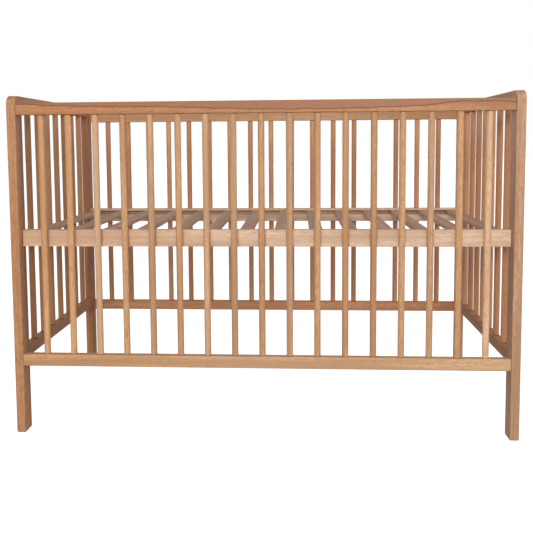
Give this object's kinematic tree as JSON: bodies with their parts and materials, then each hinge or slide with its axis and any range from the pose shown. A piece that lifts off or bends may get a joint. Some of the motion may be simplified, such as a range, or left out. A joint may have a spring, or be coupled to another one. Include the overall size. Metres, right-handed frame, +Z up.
{
  "type": "baby crib",
  "caption": "Free-standing wooden baby crib with spindled sides and ends and a slatted base that bolts between the posts at one of several heights.",
  "frame": {"origin": "centre of the footprint, on the floor under the feet", "axes": "+X along the crib's length to its right end, +Y from the front side to the back side, +Z up"},
  "size_m": [1.25, 0.652, 0.849],
  "materials": {
    "oiled_beech": "oiled, satin",
    "raw_board_wood": "planed, untreated",
    "raw_slat_wood": "planed, untreated",
    "dowel_wood": "untreated",
    "bolt_steel": "zinc plated",
    "zinc_fitting": "zinc plated"
  },
  "bodies": {
    "frame": {"back_spindles": "oiled_beech", "end_bottom_rail_left": "oiled_beech", "end_bottom_rail_right": "oiled_beech", "end_panel_dowels": "dowel_wood", "end_spindles_left": "oiled_beech", "end_spindles_right": "oiled_beech", "end_top_rail_left": "oiled_beech", "end_top_rail_right": "oiled_beech", "front_spindle_01": "oiled_beech", "front_spindle_02": "oiled_beech", "front_spindle_03": "oiled_beech", "front_spindle_04": "oiled_beech", "front_spindle_05": "oiled_beech", "front_spindle_06": "oiled_beech", "front_spindle_07": "oiled_beech", "front_spindle_08": "oiled_beech", "front_spindle_09": "oiled_beech", "front_spindle_10": "oiled_beech", "front_spindle_11": "oiled_beech", "front_spindle_12": "oiled_beech", "front_spindle_13": "oiled_beech", "front_spindle_14": "oiled_beech", "front_spindle_15": "oiled_beech", "front_spindle_16": "oiled_beech", "front_spindle_17": "oiled_beech", "post_back_left": "oiled_beech", "post_back_right": "oiled_beech", "post_front_left": "oiled_beech", "post_front_right": "oiled_beech", "side_bottom_rail_back": "oiled_beech", "side_bottom_rail_front": "oiled_beech", "side_rail_barrel_nuts": "zinc_fitting", "side_rail_bolts": "bolt_steel", "side_rail_dowels": "dowel_wood", "side_top_rail_back": "oiled_beech", "side_top_rail_front": "oiled_beech"},
    "base": {"base_board_back": "raw_board_wood", "base_board_front": "raw_board_wood", "base_bolts": "bolt_steel", "base_inserts": "zinc_fitting", "slat_01": "raw_slat_wood", "slat_02": "raw_slat_wood", "slat_03": "raw_slat_wood", "slat_04": "raw_slat_wood", "slat_05": "raw_slat_wood", "slat_06": "raw_slat_wood", "slat_07": "raw_slat_wood", "slat_08": "raw_slat_wood", "slat_09": "raw_slat_wood", "slat_10": "raw_slat_wood", "slat_11": "raw_slat_wood", "slat_12": "raw_slat_wood", "slat_13": "raw_slat_wood", "slat_14": "raw_slat_wood"}
  },
  "joints": [
    {"name": "base_height", "type": "slide", "parent": "frame", "child": "base", "axis": [0, 0, 1], "range_m": [-0.225, 0], "deforming": ["base_bolts"]}
  ]
}
